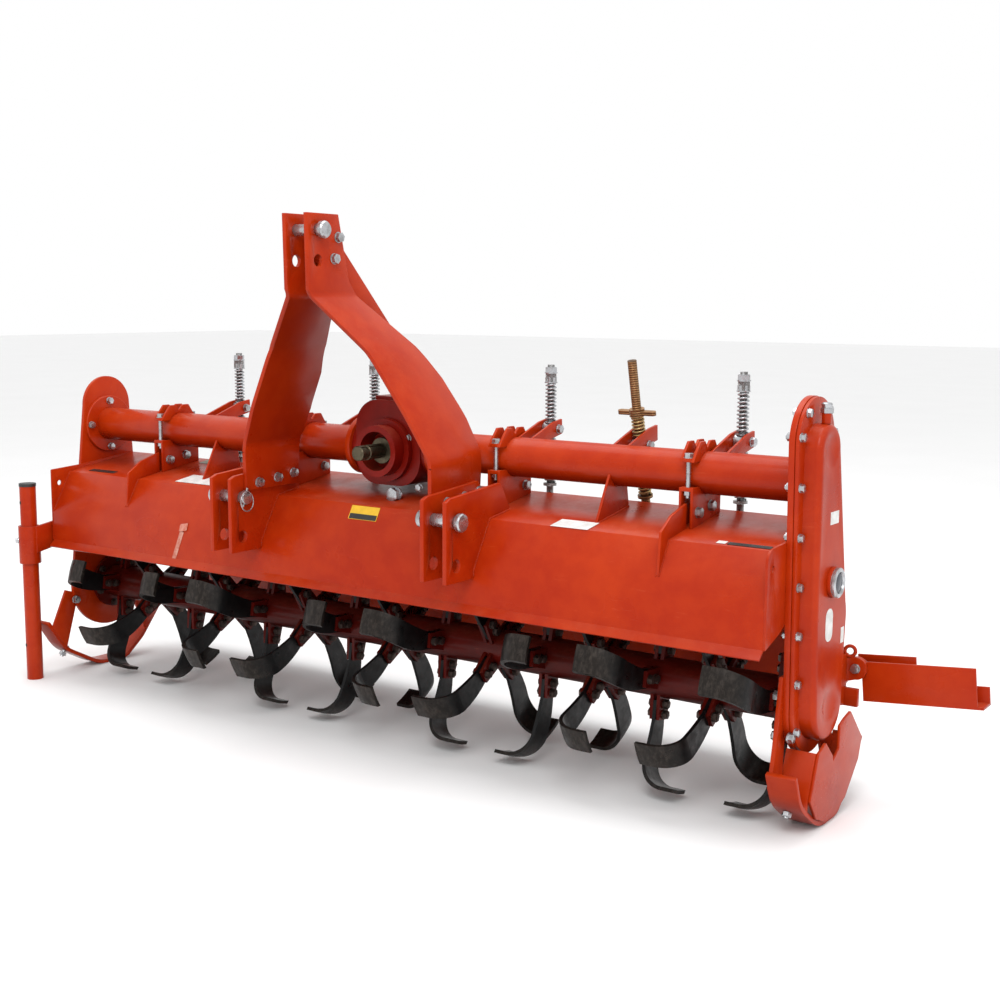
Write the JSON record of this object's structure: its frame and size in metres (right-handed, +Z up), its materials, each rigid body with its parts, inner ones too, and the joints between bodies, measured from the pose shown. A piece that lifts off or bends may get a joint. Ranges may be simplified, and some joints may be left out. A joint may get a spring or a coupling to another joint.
{
  "type": "rotavator",
  "caption": "Tractor-mounted rotavator with a side gear drive, a three-point hitch, L-shaped tines under a folded hood, a sprung trailing board, skids and parking stands.",
  "frame": {"origin": "centre of the footprint box, on the ground", "axes": "+X along the rotor towards the side gear drive, -Y towards the tractor, +Z up"},
  "size_m": [2.4618, 0.669, 1.22],
  "materials": {
    "orange_paint": "glossy enamel",
    "red_paint": "glossy enamel",
    "black_tines": "black dip with bare tips",
    "zinc_plate": "zinc plated",
    "bronze_plate": "yellow passivated, darkened",
    "oiled_steel": "oiled bare steel",
    "black_plastic": "moulded cap"
  },
  "bodies": {
    "frame": {"gearbox_front_boss": "red_paint", "gearbox_housing": "red_paint", "hitch_plates_left": "orange_paint", "hitch_plates_right": "orange_paint", "hood_end_plates": "orange_paint", "hood_gussets": "orange_paint", "hood_sheet": "orange_paint", "lower_hitch_pin_left": "zinc_plate", "lower_hitch_pin_right": "zinc_plate", "main_tube_left": "red_paint", "main_tube_right": "red_paint", "mast_arm_left": "orange_paint", "mast_arm_right": "orange_paint", "mast_spacers": "zinc_plate", "mast_stays": "orange_paint", "rear_leg_bracket": "orange_paint", "rod_ears": "orange_paint", "rod_swivels": "zinc_plate", "rotor_bearing_left": "red_paint", "side_drive_back_plate": "orange_paint", "side_drive_cover": "orange_paint", "side_drive_plugs": "zinc_plate", "side_plate_left": "orange_paint", "skid_guard_right": "orange_paint", "skid_left": "orange_paint", "skid_right": "orange_paint", "stand_bracket": "orange_paint", "top_link_pin": "zinc_plate", "trailing_board_hinge": "zinc_plate", "tube_braces": "orange_paint", "tube_saddle_caps": "orange_paint", "tube_saddles": "orange_paint"},
    "rotor": {"rotor_shaft": "red_paint", "tines_left_hand": "black_tines", "tines_right_hand": "black_tines"},
    "input": {"input_shaft": "oiled_steel"},
    "board": {"trailing_board": "orange_paint"},
    "rods": {"spring_rods": "zinc_plate", "upper_springs": "zinc_plate", "lower_springs": "zinc_plate"},
    "lift_swivel": {"lift_rod_swivel": "zinc_plate"},
    "lift_rod": {"lift_rod": "bronze_plate", "lift_rod_springs": "bronze_plate"},
    "stand": {"stand_leg": "orange_paint", "stand_cap": "black_plastic"},
    "rear_leg": {"rear_leg": "orange_paint"}
  },
  "joints": [
    {"name": "rotor_spin", "type": "hinge", "parent": "frame", "child": "rotor", "pos_m": [-0.09643, 0.0295, 0.243], "axis": [1, 0, 0], "continuous": true},
    {"name": "input_spin", "type": "hinge", "parent": "frame", "child": "input", "pos_m": [-0.09643, 0.0345, 0.689], "axis": [0, 1, 0], "continuous": true},
    {"name": "board_hinge", "type": "hinge", "parent": "frame", "child": "board", "pos_m": [-0.09643, 0.1045, 0.579], "axis": [1, 0, 0], "range_deg": [-4, 20]},
    {"name": "rod_slide", "type": "slide", "parent": "frame", "child": "rods", "axis": [0, 0, 1], "range_m": [-0.00294, 0.01272], "deforming": ["upper_springs", "lower_springs"]},
    {"name": "lift_swivel_turn", "type": "hinge", "parent": "frame", "child": "lift_swivel", "pos_m": [0.49857, 0.1165, 0.727], "axis": [1, 0, 0], "range_deg": [-0.47, 1.56]},
    {"name": "lift_rod_slide", "type": "slide", "parent": "lift_swivel", "child": "lift_rod", "axis": [0, -0.2305, 0.9731], "range_m": [-0.00373, 0.01666], "deforming": ["lift_rod_springs"]},
    {"name": "stand_slide", "type": "slide", "parent": "frame", "child": "stand", "axis": [0, 0, 1], "range_m": [0, 0.22]},
    {"name": "rear_leg_swing", "type": "hinge", "parent": "frame", "child": "rear_leg", "pos_m": [0.96357, 0.2405, 0.271], "axis": [0, 1, 0], "range_deg": [0, 90]}
  ],
  "couplings": [
    {"joint": "input_spin", "follows": "rotor_spin", "ratio": 2.57},
    {"joint": "rod_slide", "follows": "board_hinge", "m_per_rad": 0.035},
    {"joint": "lift_swivel_turn", "follows": "board_hinge", "ratio": 0.0681},
    {"joint": "lift_rod_slide", "follows": "board_hinge", "m_per_rad": 0.0463}
  ]
}
